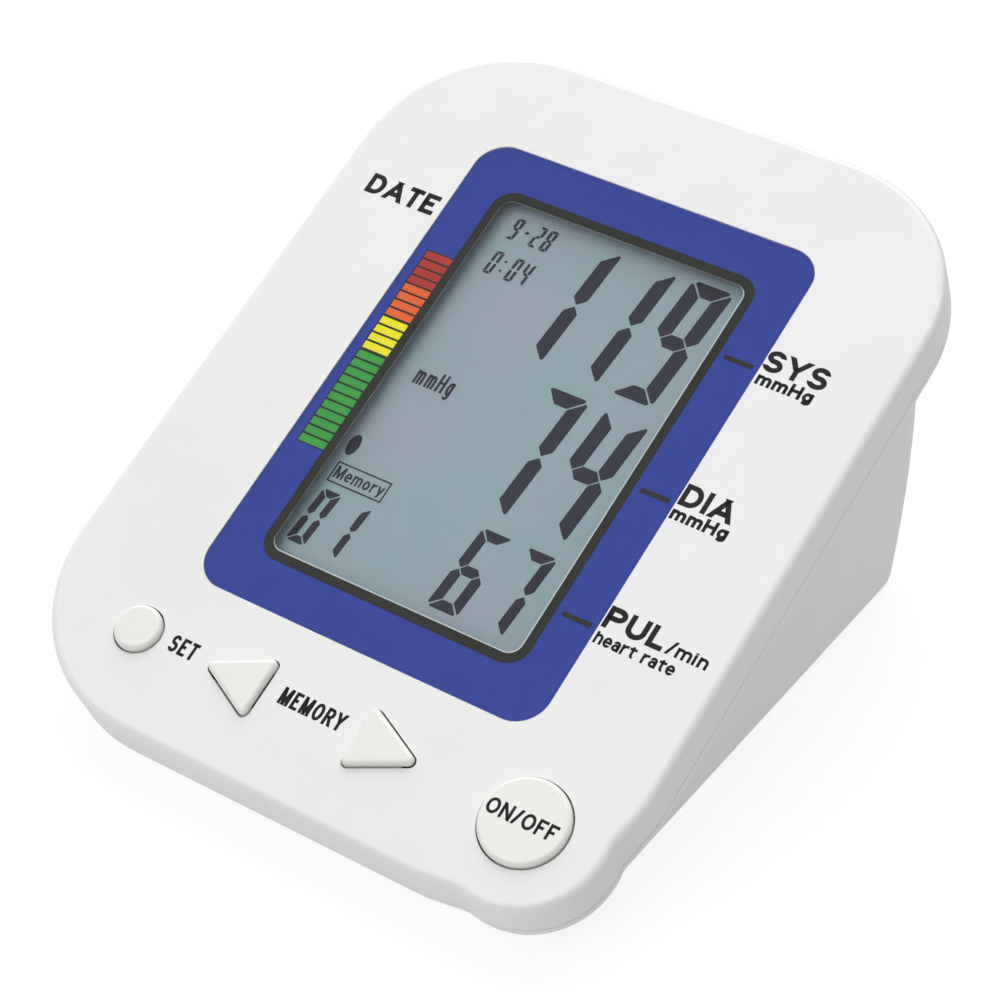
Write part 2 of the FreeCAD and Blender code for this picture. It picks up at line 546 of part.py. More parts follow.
# Battery door with two hooks in front and a latch tongue behind
DOOR_X, DOOR_Y = BAY_X - RUN_GAP, (BAY_Y[0] + RUN_GAP, BAY_Y[1] - RUN_GAP)
door = plate(rectangle((-DOOR_X, DOOR_X), DOOR_Y, 0.8), FOOT_RISE, FLOOR)
hooks = []
for x in (-HOOK_X, HOOK_X):
    span = (x - HOOK_HALF, x + HOOK_HALF)
    hooks.append(box(span, (DOOR_Y[0], DOOR_Y[0] + 1.2), (FLOOR - 0.5, FLOOR + 1.5)))
    hooks.append(box(span, (DOOR_Y[0] - 2.6, DOOR_Y[0] + 1.2), (FLOOR + 0.3, FLOOR + 1.5)))
tongue = box((-5.5, 5.5), (DOOR_Y[1] - 0.8, DOOR_Y[1] + 1.6), (FOOT_RISE, FOOT_RISE + 1.2))
door = fused(door, *hooks, tongue)
for i in range(5):
    y = DOOR_Y[1] - 4 - 2.2 * i
    door = door.cut(box((-9, 9), (y, y + 1.0), (0, FOOT_RISE + 0.5)))
save("battery_door", in_case(door))

save("feet", *[in_case(rod(FOOT_R, (x, y, 0), (x, y, FOOT_RISE + 0.55))) for x, y in FEET])

# Leads
LEAD_R = 0.6
LEADS = {
    "motor_leads": [[(28.2, 74, 33.2), (34, 74, 33.2), (34, 52, 33.2), (34, 52, 36.6)],
                    [(28.2, 80, 33.2), (37, 80, 33.2), (37, 52, 33.2), (37, 52, 36.6)]],
    "valve_leads": [[(-41.9, 44, 14), (-46.4, 44, 14), (-46.4, 38, 27), (-36.5, 38, 27), (-36.5, 38, 29.9)],
                    [(-41.9, 47, 12), (-48.0, 47, 12), (-48.0, 35.5, 25.5), (-36.5, 35.5, 25.5),
                     (-36.5, 35.5, 28.7)]],
    "battery_leads": [[(x, 33.6, 12), (x, 33.6, 22), (x, 30, 26)] for x in (-24, -27)],
}
for name, routes in LEADS.items():
    save(name, *[in_case(swept(route, 1.3, LEAD_R)) for route in routes])
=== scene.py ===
import math

import bpy
import numpy as np
from mathutils import Matrix, Vector


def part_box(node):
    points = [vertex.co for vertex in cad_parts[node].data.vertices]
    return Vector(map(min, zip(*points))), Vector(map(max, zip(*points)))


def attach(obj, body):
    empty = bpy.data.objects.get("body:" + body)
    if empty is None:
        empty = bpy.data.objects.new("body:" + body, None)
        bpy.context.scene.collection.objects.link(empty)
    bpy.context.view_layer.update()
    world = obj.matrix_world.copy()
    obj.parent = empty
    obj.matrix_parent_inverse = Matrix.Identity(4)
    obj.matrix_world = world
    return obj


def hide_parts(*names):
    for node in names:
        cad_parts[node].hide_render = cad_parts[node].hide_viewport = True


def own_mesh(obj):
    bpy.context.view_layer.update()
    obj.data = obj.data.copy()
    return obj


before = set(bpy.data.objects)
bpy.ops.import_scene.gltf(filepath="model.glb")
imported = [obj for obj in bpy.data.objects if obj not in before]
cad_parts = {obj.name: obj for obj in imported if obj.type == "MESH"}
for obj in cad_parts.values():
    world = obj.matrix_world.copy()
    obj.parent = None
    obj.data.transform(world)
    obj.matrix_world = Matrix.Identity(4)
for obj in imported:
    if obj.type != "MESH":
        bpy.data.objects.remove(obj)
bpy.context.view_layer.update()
print("frame loaded:", len(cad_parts), "nodes")

mm = 0.001

# The panel's own axes: x to the right, v up the slope, w out of the face, in millimetres from the
# middle of the window's lower edge.
panel = dict(
    tilt=25.5,            # slope from the table, degrees
    lensTop=-0.2,         # window plate's face below the panel's face
    lensThick=1.4,
    windowHeight=94.9,
)
tiltSin, tiltCos = math.sin(math.radians(panel["tilt"])), math.cos(math.radians(panel["tilt"]))
windowLow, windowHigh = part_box("display_window")
lensBottom = panel["lensTop"] - panel["lensThick"]
panelY = windowHigh.y / mm - panel["windowHeight"] * tiltCos + lensBottom * tiltSin
panelZ = windowLow.z / mm - lensBottom * tiltCos


def onPanel(points):
    # rotate (x, v, w) by the tilt about x and shift to the window's lower edge, in metres
    p = np.asarray(points, float).reshape(-1, 3)
    y = p[:, 1] * tiltCos - p[:, 2] * tiltSin + panelY
    z = p[:, 1] * tiltSin + p[:, 2] * tiltCos + panelZ
    return np.column_stack([p[:, 0], y, z]) * mm


# Meshes

def meshPiece(name, points, faces, material, body, smooth=False):
    # one mesh of points in metres, riding on a body
    mesh = bpy.data.meshes.new(name)
    mesh.from_pydata(np.asarray(points).tolist(), [], faces)
    mesh.validate()
    mesh.update()
    piece = bpy.data.objects.new(name, mesh)
    bpy.context.scene.collection.objects.link(piece)
    mesh.materials.append(material)
    if smooth:
        mesh.polygons.foreach_set("use_smooth", np.ones(len(mesh.polygons), bool))
    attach(piece, body)
    return piece


def gridFaces(rows, columns, closed=False):
    # quads between neighbouring rings of points, rings stored one after another; closed joins last to first
    r = np.arange(rows if closed else rows - 1)[:, None]
    c = np.arange(columns)[None, :]
    here, ahead, n = r * columns, (r + 1) % rows * columns, (c + 1) % columns
    quads = np.stack([here + c, here + n, ahead + n, ahead + c], axis=-1)
    return quads.reshape(-1, 4).tolist()


def endFaces(rows, columns):
    # one face over the first ring and one over the last
    return [list(range(columns))[::-1], list(range((rows - 1) * columns, rows * columns))]


def roundedRing(halfX, halfY, radius, centre=(0.0, 0.0), perCorner=12):
    # a rounded rectangle as four quarter circles, walked counter-clockwise
    turn = np.linspace(0, math.pi / 2, perCorner)
    corners = [(halfX - radius, halfY - radius, 0), (radius - halfX, halfY - radius, 1),
               (radius - halfX, radius - halfY, 2), (halfX - radius, radius - halfY, 3)]
    parts = [np.column_stack([x + radius * np.cos(turn + q * math.pi / 2),
                              y + radius * np.sin(turn + q * math.pi / 2)]) for x, y, q in corners]
    return np.concatenate(parts) + np.array(centre)


def ringStack(rings):
    # rings of (outline, level w) as one array of points, with the numbers of rings and of points in each
    points = np.concatenate([np.column_stack([outline, np.full(len(outline), w)]) for outline, w in rings])
    return points, len(rings), len(rings[0][0])


def flatPlate(outlines, low, high):
    # closed prisms of convex or simple outlines between two levels
    points, faces = [], []
    start = 0
    for outline in outlines:
        outline = np.asarray(outline, float)
        n = len(outline)
        points.append(np.column_stack([outline, np.full(n, low)]))
        points.append(np.column_stack([outline, np.full(n, high)]))
        i = np.arange(n)
        j = (i + 1) % n
        walls = np.stack([i, j, j + n, i + n], axis=-1) + start
        faces += walls.tolist()
        faces.append((np.arange(n)[::-1] + start).tolist())
        faces.append((np.arange(n) + n + start).tolist())
        start += 2 * n
    return np.concatenate(points), faces


def rectangle(left, right, low, high):
    # four corners, walked counter-clockwise
    return [(left, low), (right, low), (right, high), (left, high)]


# Shader node groups shared by the finishes

def newGroup(name, inputs, outputs):
    # an empty node group with named sockets, and its inlet and outlet nodes
    group = bpy.data.node_groups.new(name, "ShaderNodeTree")
    for label, kind, value in inputs:
        socket = group.interface.new_socket(name=label, in_out="INPUT", socket_type=kind)
        socket.default_value = value
    for label, kind in outputs:
        group.interface.new_socket(name=label, in_out="OUTPUT", socket_type=kind)
    return group, group.nodes.new("NodeGroupInput"), group.nodes.new("NodeGroupOutput")


def noiseNode(tree, coordinates, scale, detail, roughness=0.55):
    # layered noise at a place, as a value of about 0 to 1
    node = tree.nodes.new("ShaderNodeTexNoise")
    node.inputs["Detail"].default_value = detail
    node.inputs["Roughness"].default_value = roughness
    if isinstance(scale, (int, float)):
        node.inputs["Scale"].default_value = scale
    else:
        tree.links.new(scale, node.inputs["Scale"])
    tree.links.new(coordinates, node.inputs["Vector"])
    return node.outputs["Fac"]


def mathNode(tree, operation, a, b, c=None, clamp=False):
    # one sum of plain values or of other nodes' outputs
    node = tree.nodes.new("ShaderNodeMath")
    node.operation = operation
    node.use_clamp = clamp
    for i, value in enumerate([a, b] + ([c] if c is not None else [])):
        if isinstance(value, (int, float)):
            node.inputs[i].default_value = value
        else:
            tree.links.new(value, node.inputs[i])
    return node.outputs[0]


def mixColour(tree, factor, a, b):
    # a where the factor is 0 and b where it is 1
    node = tree.nodes.new("ShaderNodeMix")
    node.data_type = "RGBA"
    for value, socket in ((factor, node.inputs[0]), (a, node.inputs[6]), (b, node.inputs[7])):
        if hasattr(value, "is_linked"):
            tree.links.new(value, socket)
        else:
            socket.default_value = value
    return node.outputs[2]


def mixShaders(tree, factor, first, second):
    # the first surface where the factor is 0 and the second where it is 1
    node = tree.nodes.new("ShaderNodeMixShader")
    for value, socket in zip((factor, first, second), node.inputs):
        tree.links.new(value, socket)
    return node.outputs[0]


def makeGrainGroup():
    # moulded surface: a broad unevenness plus a fine spark-eroded grain, as height and tone
    group, inlet, outlet = newGroup("mouldedGrain", [
        ("Grain Scale", "NodeSocketFloat", 2500.0), ("Grain Depth", "NodeSocketFloat", 1.0),
        ("Wave Scale", "NodeSocketFloat", 60.0), ("Wave Depth", "NodeSocketFloat", 0.4),
        ("Tone Contrast", "NodeSocketFloat", 2.5)],
        [("Height", "NodeSocketFloat"), ("Tone", "NodeSocketFloat")])
    place = group.nodes.new("ShaderNodeTexCoord").outputs["Object"]
    fine = noiseNode(group, place, inlet.outputs["Grain Scale"], detail=2.0)
    broad = noiseNode(group, place, inlet.outputs["Wave Scale"], detail=3.0)
    height = mathNode(group, "ADD", mathNode(group, "MULTIPLY", fine, inlet.outputs["Grain Depth"]),
                      mathNode(group, "MULTIPLY", broad, inlet.outputs["Wave Depth"]))
    group.links.new(height, outlet.inputs["Height"])
    stretched = mathNode(group, "MULTIPLY_ADD", mathNode(group, "SUBTRACT", broad, 0.5),
                         inlet.outputs["Tone Contrast"], 0.5, True)
    group.links.new(stretched, outlet.inputs["Tone"])
    return group


handling = dict(stretch=(1.0, 0.15, 1.0), blotchShare=0.7, scuffShare=0.3)


def makeHandlingGroup():
    # handling marks: soft blotches and a few fine scuffs that change the roughness
    group, inlet, outlet = newGroup("handlingMarks", [
        ("Blotch Scale", "NodeSocketFloat", 25.0), ("Scuff Scale", "NodeSocketFloat", 180.0),
        ("Base", "NodeSocketFloat", 0.4), ("Spread", "NodeSocketFloat", 0.1)],
        [("Roughness", "NodeSocketFloat")])
    place = group.nodes.new("ShaderNodeTexCoord").outputs["Object"]
    stretch = group.nodes.new("ShaderNodeMapping")
    stretch.inputs["Scale"].default_value = handling["stretch"]
    group.links.new(place, stretch.inputs["Vector"])
    blotch = noiseNode(group, place, inlet.outputs["Blotch Scale"], detail=3.0)
    scuff = noiseNode(group, stretch.outputs["Vector"], inlet.outputs["Scuff Scale"], detail=5.0,
                      roughness=0.7)
    both = mathNode(group, "ADD", mathNode(group, "MULTIPLY", blotch, handling["blotchShare"]),
                    mathNode(group, "MULTIPLY", scuff, handling["scuffShare"]))
    centred = mathNode(group, "SUBTRACT", both, 0.5)
    rough = mathNode(group, "MULTIPLY_ADD", centred, inlet.outputs["Spread"], inlet.outputs["Base"], True)
    group.links.new(rough, outlet.inputs["Roughness"])
    return group


grainGroup = makeGrainGroup()
handlingGroup = makeHandlingGroup()

# What the finishes share: how much darker the second tone is, the scale of the handling blotches, the
# coat's roughness, and the heights and depths in metres
finishShared = dict(shade=0.94, blotch=25.0, bumpDistance=0.0002, coatRoughness=0.05,
                    scatter=(0.002, 0.002, 0.0018))


def finish(name, colour, second=None, roughness=0.4, spread=0.1, metallic=0.0, grain=(2500.0, 1.0),
           wave=(60.0, 0.3), bump=0.03, specular=0.5, coat=0.0, subsurface=0.0):
    # one Principled surface: two close tones mixed by the broad noise, grain bump, marked roughness
    material = bpy.data.materials.new(name)
    material.use_nodes = True
    tree = material.node_tree
    shader = tree.nodes["Principled BSDF"]
    grainNode = tree.nodes.new("ShaderNodeGroup")
    grainNode.node_tree = grainGroup
    grainNode.inputs["Grain Scale"].default_value, grainNode.inputs["Grain Depth"].default_value = grain
    grainNode.inputs["Wave Scale"].default_value, grainNode.inputs["Wave Depth"].default_value = wave
    marks = tree.nodes.new("ShaderNodeGroup")
    marks.node_tree = handlingGroup
    marks.inputs["Blotch Scale"].default_value = finishShared["blotch"]
    marks.inputs["Base"].default_value = roughness
    marks.inputs["Spread"].default_value = spread
    second = second or tuple(channel * finishShared["shade"] for channel in colour)
    tone = mixColour(tree, grainNode.outputs["Tone"], (*colour, 1.0), (*second, 1.0))
    tree.links.new(tone, shader.inputs["Base Color"])
    tree.links.new(marks.outputs["Roughness"], shader.inputs["Roughness"])
    bumpNode = tree.nodes.new("ShaderNodeBump")
    bumpNode.inputs["Strength"].default_value = bump
    bumpNode.inputs["Distance"].default_value = finishShared["bumpDistance"]
    tree.links.new(grainNode.outputs["Height"], bumpNode.inputs["Height"])
    tree.links.new(bumpNode.outputs["Normal"], shader.inputs["Normal"])
    shader.inputs["Metallic"].default_value = metallic
    shader.inputs["Specular IOR Level"].default_value = specular
    shader.inputs["Coat Weight"].default_value = coat
    shader.inputs["Coat Roughness"].default_value = finishShared["coatRoughness"]
    shader.inputs["Subsurface Weight"].default_value = subsurface
    shader.inputs["Subsurface Radius"].default_value = finishShared["scatter"]
    return material


def linear(red, green, blue):
    # a display colour, 0 to 255, as the linear values that shaders take, by the sRGB curve
    values = np.array([red, green, blue]) / 255.0
    curved = np.where(values <= 0.04045, values / 12.92, ((values + 0.055) / 1.055) ** 2.4)
    return tuple(float(v) for v in curved)


caseWhite = finish("caseWhite", linear(232, 233, 232), linear(230, 231, 229), roughness=0.38, spread=0.08,
                   bump=0.04, wave=(40.0, 0.05))
buttonWhite = finish("buttonWhite", linear(233, 233, 230), linear(231, 231, 227), roughness=0.34, bump=0.03,
                     wave=(60.0, 0.05))
innerPlastic = finish("innerPlastic", linear(205, 206, 200), roughness=0.5)
blackPlastic = finish("blackPlastic", linear(34, 34, 35), roughness=0.45)
rubberGrey = finish("rubberGrey", linear(74, 75, 76), roughness=0.8, bump=0.15, grain=(1800.0, 1.5))
foamBlack = finish("foamBlack", linear(42, 42, 42), roughness=0.95, bump=0.6, grain=(1400.0, 3.0))
siliconeHose = finish("siliconeHose", linear(208, 212, 206), roughness=0.35, subsurface=0.2)
elastomerPink = finish("elastomerPink", linear(214, 168, 172), roughness=0.6)
boardGreen = finish("boardGreen", linear(22, 96, 52), linear(16, 82, 44), roughness=0.3, coat=0.3)
chipBlack = finish("chipBlack", linear(28, 28, 30), roughness=0.6, bump=0.12)
brightSteel = finish("brightSteel", linear(188, 189, 190), roughness=0.28, metallic=1.0, spread=0.15)
ferrite = finish("ferrite", linear(52, 50, 50), roughness=0.6, metallic=0.3)
copperWire = finish("copperWire", linear(196, 108, 62), roughness=0.35, metallic=0.9)
wireRed = finish("wireRed", linear(176, 32, 28), roughness=0.45)
cellWrap = finish("cellWrap", linear(60, 84, 120), linear(52, 74, 110), roughness=0.25, metallic=0.3,
                  coat=0.4)
print("finishes made")

# The finish of each CAD node
nodeFinish = {
    caseWhite: ["top_cover", "bottom_cover", "battery_door"],
    buttonWhite: ["power_button", "set_button", "memory_back_button", "memory_next_button"],
    innerPlastic: ["display_holder", "air_manifold", "pressure_sensor"],
    blackPlastic: ["air_socket", "switch_bodies", "power_switch_stem", "set_switch_stem",
                   "memory_back_switch_stem", "memory_next_switch_stem", "buzzer", "valve_seat",
                   "pump_housing", "pump_cap"],
    rubberGrey: ["feet", "bleed_valve", "pump_diaphragm"],
    foamBlack: ["pump_foam_sleeve"],
    siliconeHose: ["socket_hose", "sensor_hose", "pump_hose", "valve_hose"],
    elastomerPink: ["elastomer_connectors"],
    boardGreen: ["main_board"],
    chipBlack: ["processor_chip", "memory_chip", "capacitors"],
    brightSteel: ["board_screws", "case_screws", "clock_crystal", "display_reflector", "valve_yoke",
                  "valve_plunger", "valve_spring", "motor_can", "pump_rotor", "battery_contacts",
                  "battery_springs"],
    ferrite: ["motor_magnets"],
    copperWire: ["valve_coil"],
    wireRed: ["motor_leads", "valve_leads", "battery_leads"],
    cellWrap: ["battery_cells"],
}
for material, nodes in nodeFinish.items():
    for node in nodes:
        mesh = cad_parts[node].data
        mesh.materials.clear()
        mesh.materials.append(material)

# Window: a thin clear face over a printed sheet with an opening for the display, in millimetres on the
# panel's axes; printX is how far the border and the opening stand off the middle
window = dict(
    top=-0.12, thick=0.3, edge=0.12, edgeSteps=5, printX=-0.15,
    plate=dict(halfX=33.2, low=-0.2, high=95.1, corner=5.7),
    border=dict(halfX=25.75, low=8.1, high=87.1, corner=4.0),
    opening=dict(halfX=24.1, low=9.9, high=85.3, corner=2.4),
)
windowBottom = window["top"] - window["thick"]
acrylic = dict(waveScale=35.0, clear=(1.0, 1.0, 1.0, 1.0), tint=(0.985, 0.99, 0.99, 1.0), ior=1.49)


def clearAcrylic():
    # clear to shadow rays, glass to all others, with a trace of haze in its tint
    material = bpy.data.materials.new("clearAcrylic")
    material.use_nodes = True
    tree = material.node_tree
    glass = tree.nodes["Principled BSDF"]
    haze = tree.nodes.new("ShaderNodeGroup")
    haze.node_tree = grainGroup
    haze.inputs["Wave Scale"].default_value = acrylic["waveScale"]
    colour = mixColour(tree, haze.outputs["Tone"], acrylic["clear"], acrylic["tint"])
    tree.links.new(colour, glass.inputs["Base Color"])
    glass.inputs["Roughness"].default_value = 0.0
    glass.inputs["IOR"].default_value = acrylic["ior"]
    glass.inputs["Transmission Weight"].default_value = 1.0
    passing = tree.nodes.new("ShaderNodeBsdfTransparent")
    path = tree.nodes.new("ShaderNodeLightPath")
    surface = mixShaders(tree, path.outputs["Is Shadow Ray"], glass.outputs[0], passing.outputs[0])
    tree.links.new(surface, tree.nodes["Material Output"].inputs["Surface"])
    return material


def windowRing(part, inset=0.0, middleX=0.0):
    # the rounded outline of the plate, the border or the opening, moved inwards by the inset
    halfX, low, high, corner = (window[part][key] for key in ("halfX", "low", "high", "corner"))
    return roundedRing(halfX - inset, (high - low) / 2 - inset, corner - inset, (middleX, (high + low) / 2))


def makeWindow():
    # the plate's outline carried up its side and over a quarter-round edge
    top, edge = window["top"], window["edge"]
    rings = [(windowRing("plate"), windowBottom), (windowRing("plate"), top - edge)]
    for turn in np.linspace(0, math.pi / 2, window["edgeSteps"])[1:]:
        rings.append((windowRing("plate", edge * (1 - math.cos(turn))), top - edge * (1 - math.sin(turn))))
    points, rows, columns = ringStack(rings)
    faces = gridFaces(rows, columns) + endFaces(rows, columns)
    lens = meshPiece("windowLens", onPanel(points), faces, clearAcrylic(), "case")
    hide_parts("display_window")


def makeInkSheet(name, outer, inner, low, high, material):
    # a flat frame between two outlines with the same number of points
    points, rows, columns = ringStack([(outer, high), (inner, high), (inner, low), (outer, low)])
    sheet = meshPiece(name, onPanel(points), gridFaces(rows, columns, closed=True), material, "case")


blueInk = finish("blueInk", linear(46, 64, 150), linear(50, 67, 152), roughness=0.5, spread=0.05, bump=0.0,
                 wave=(18.0, 0.3), specular=0.0)
blackInk = finish("blackInk", linear(40, 42, 38), linear(45, 47, 43), roughness=0.5, bump=0.0, specular=0.0)

makeWindow()
inkSheet = dict(gap=0.01, thick=0.04)
sheetTop = windowBottom - inkSheet["gap"]
sheetLow = sheetTop - inkSheet["thick"]
borderEdge, openEdge = (windowRing(part, 0.0, window["printX"]) for part in ("border", "opening"))
makeInkSheet("windowBlueInk", windowRing("plate"), borderEdge, sheetLow, sheetTop, blueInk)
makeInkSheet("windowBlackBorder", borderEdge, openEdge, sheetLow, sheetTop, blackInk)

# A pale lip shows inside the opening, along its lower and right sides
lip = dict(inset=0.13, shift=0.11, top=0.05, bottom=0.1)
lipEdge = windowRing("opening", lip["inset"], window["printX"] - lip["shift"]) + (0.0, lip["shift"])
lipPlastic = finish("lipPlastic", linear(196, 204, 205), linear(188, 196, 198), roughness=0.5, bump=0.02)
makeInkSheet("openingLip", openEdge, lipEdge, sheetTop - lip["bottom"], sheetTop - lip["top"], lipPlastic)

# Colour scale and pointer marks printed on the sheet, in layers above it; a run is its colour's name,
# its colour, where it starts and how many bars it has
scale = dict(left=-31.1, right=-25.9, pitch=1.8, gap=0.4, frame=0.25,
             runs=[("green", linear(64, 158, 72), 29.2, 11), ("yellow", linear(232, 224, 44), 49.2, 4),
                   ("orange", linear(224, 102, 52), 56.5, 4), ("red", linear(176, 58, 50), 63.7, 4)])
inkLevels = dict(base=0.001, backing=0.004, bars=0.005, top=0.008)
tickMarks = dict(left=26.7, right=32.1, thick=0.95, at=(71.9, 44.4, 19.8))


def printOnWindow(name, outlines, low, high, ink):
    # flat shapes of ink between two of the layers
    points, faces = flatPlate(outlines, sheetTop + inkLevels[low], sheetTop + inkLevels[high])
    meshPiece(name, onPanel(points), faces, ink, "case")


def makeScale():
    # equal bars side by side on a dark backing whose edges stand a little outside them
    left, right, pitch, gap, edge = (scale[key] for key in ("left", "right", "pitch", "gap", "frame"))
    bottom, (lastStart, lastCount) = scale["runs"][0][2], scale["runs"][-1][2:]
    backing = rectangle(left - edge, right + edge, bottom - edge, lastStart + lastCount * pitch - gap + edge)
    printOnWindow("scaleBacking", [backing], "base", "backing", blackInk)
    for label, colour, start, count in scale["runs"]:
        lows = [start + i * pitch for i in range(count)]
        bars = [rectangle(left, right, low, low + pitch - gap) for low in lows]
        ink = finish(label + "Ink", colour, roughness=0.5, bump=0.0, specular=0.0)
        printOnWindow(label + "ScaleBars", bars, "bars", "top", ink)


def makePointerMarks():
    # level bars, each centred on its height
    half = tickMarks["thick"] / 2
    bars = [rectangle(tickMarks["left"], tickMarks["right"], v - half, v + half) for v in tickMarks["at"]]
    printOnWindow("pointerMarks", bars, "base", "top", blackInk)


makeScale()
makePointerMarks()

# Display cell, and the shift of its figures against the window
cell = dict(halfX=29.0, low=4.5, high=90.5, corner=0.6, top=-3.15, thick=1.5, bevel=0.15,
            figuresX=-1.55, figuresV=1.24)
cellGlass = finish("displayGreen", linear(134, 163, 167), linear(152, 158, 170), roughness=0.35, spread=0.05,
                   bump=0.0, wave=(45.0, 0.3), specular=0.2)
segmentInk = finish("segmentInk", linear(30, 30, 46), linear(34, 34, 50), roughness=0.4, bump=0.0,
                    specular=0.2)


def makeCell():
    # a rounded rectangle carried up its side and over a bevelled edge
    middle, halfV, bevel = (cell["high"] + cell["low"]) / 2, (cell["high"] - cell["low"]) / 2, cell["bevel"]
    rings = []
    for inset, drop in ((0, cell["thick"]), (0, bevel), (bevel, 0)):
        outline = roundedRing(cell["halfX"] - inset, halfV - inset, cell["corner"], (0, middle))
        rings.append((outline, cell["top"] - drop))
    points, rows, columns = ringStack(rings)
    faces = gridFaces(rows, columns) + endFaces(rows, columns)
    displayCell = meshPiece("displayCell", onPanel(points), faces, cellGlass, "case")
    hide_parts("display_glass")


makeCell()

# Seven-segment figures: the bars lit for each, from a at the top clockwise to f, with g in the middle
segments = {
    "0": "abcdef", "1": "bc", "2": "abged", "3": "abgcd", "4": "fgbc", "5": "afgcd", "6": "afgedc",
    "7": "abc", "8": "abcdefg", "9": "abcdfg", "-": "g",
}
digit = dict(slant=4.5, cut=0.3, cutGap=1.5)      # degrees; shares of a bar's thickness and of half a gap


def segmentOutlines(width, height, thick, gap):
    # the seven bars of a figure, mitred where two meet, with the figure's outer corners cut off: the top,
    # upper left and middle bars, mirrored left to right and top to bottom for the others, then slanted
    t, g, c, middle = thick, gap / 2, thick * digit["cut"], height / 2
    notch = c / 2 + g * digit["cutGap"]
    top = [(c + g, height), (notch, height - c / 2), (t + g, height - t), (width - t - g, height - t),
           (width - notch, height - c / 2), (width - c - g, height)]
    side = [(0, height - c - g), (0, middle + t / 2 + g), (t / 2, middle + g), (t, middle + t / 2 + g),
            (t, height - t - g), (c / 2, height - notch)]
    bar = [(t / 2 + g, middle), (t + g / 2, middle + t / 2), (width - t - g / 2, middle + t / 2),
           (width - t / 2 - g, middle), (width - t - g / 2, middle - t / 2), (t + g / 2, middle - t / 2)]
    bars = dict(a=(top, 0, 0), b=(side, 1, 0), c=(side, 1, 1), d=(top, 0, 1), e=(side, 0, 1), f=(side, 0, 0),
                g=(bar, 0, 0))
    lean = math.tan(math.radians(digit["slant"]))
    result = {}
    for name, (outline, mirrorX, mirrorV) in bars.items():
        p = np.array(outline) * (1 - 2 * mirrorX, 1 - 2 * mirrorV) + (width * mirrorX, height * mirrorV)
        p[:, 0] += p[:, 1] * lean
        area = np.sum(p[:, 0] * np.roll(p[:, 1], -1) - np.roll(p[:, 0], -1) * p[:, 1])
        result[name] = p if area > 0 else p[::-1]
    return result


readouts = dict(
    upper=dict(text="119", lefts=(-8.8, 2.0, 12.8), base=58.5, width=7.9, height=24.9, thick=2.75, gap=0.35),
    lower=dict(text="74", lefts=(0.8, 12.3), base=30.4, width=8.3, height=25.0, thick=2.75, gap=0.35),
    pulse=dict(text="67", lefts=(5.8, 14.3), base=11.6, width=5.9, height=16.0, thick=1.9, gap=0.3),
    store=dict(text="01", lefts=(-22.6, -16.4), base=12.1, width=3.75, height=10.8, thick=1.35, gap=0.25),
    date=dict(text="9-28", lefts=(-20.1, -17.8, -15.6, -13.4), base=78.3, width=1.6, height=4.5, thick=0.58,
              gap=0.1),
    clock=dict(text="004", lefts=(-20.1, -15.9, -13.6), base=70.6, width=1.6, height=4.9, thick=0.58,
               gap=0.1),
)
figureLevels = dict(low=0.001, high=0.012)        # above the cell's face


def lcdPiece(name, outlines):
    # dark liquid crystal shapes as thin prisms on the cell's face
    placed = [np.asarray(outline, float) + (cell["figuresX"], cell["figuresV"]) for outline in outlines]
    points, faces = flatPlate(placed, cell["top"] + figureLevels["low"], cell["top"] + figureLevels["high"])
    meshPiece(name, onPanel(points), faces, segmentInk, "case")


def makeReadout(name, text, lefts, base, width, height, thick, gap):
    # the lit bars of each figure, moved to the figure's lower left corner
    bars = segmentOutlines(width, height, thick, gap)
    lcdPiece(name + "Readout", [bars[s] + np.array([left, base])
                                for left, figure in zip(lefts, text) for s in segments[figure]])


for name, values in readouts.items():
    makeReadout(name, **values)

memoryBox = dict(left=-22.3, right=-11.4, low=24.3, high=28.4, line=0.3)
pulseMark = dict(at=(-21.7, 32.0), halfX=1.1, halfY=2.1)
clockColon = dict(x=-17.15, at=(72.0, 74.0), radius=0.27)
roundSteps = 40


def makeMarks():
    # a thin frame from four bars, an ellipse, and the clock's two dots
    x0, x1, y0, y1, t = (memoryBox[k] for k in ("left", "right", "low", "high", "line"))
    lcdPiece("memoryFrame", [rectangle(x0, x1, y0, y0 + t), rectangle(x0, x1, y1 - t, y1),
                             rectangle(x0, x0 + t, y0 + t, y1 - t), rectangle(x1 - t, x1, y0 + t, y1 - t)])
    turn = np.linspace(0, 2 * math.pi, roundSteps, endpoint=False)
    unit = np.column_stack([np.cos(turn), np.sin(turn)])
    lcdPiece("pulseMark", [unit * (pulseMark["halfX"], pulseMark["halfY"]) + pulseMark["at"]])
    lcdPiece("clockColon", [unit * clockColon["radius"] + (clockColon["x"], v) for v in clockColon["at"]])


makeMarks()
print("window and display made")

# Printed lettering: each character is a few strokes in a unit box, drawn as ribbons of one width

def arc(x, y, halfX, halfY, first, last, count=14):
    # points of an ellipse about (x, y) between two angles in degrees
    turn = np.radians(np.linspace(first, last, count))
    return list(zip(x + halfX * np.cos(turn), y + halfY * np.sin(turn)))


ring = arc(0.5, 0.5, 0.5, 0.5, 0, 360, 33)[:-1]
bowl = arc(0.55, 0.74, 0.45, 0.26, 90, -90)
hump = arc(0.5, 0.62, 0.5, 0.38, 180, 0)
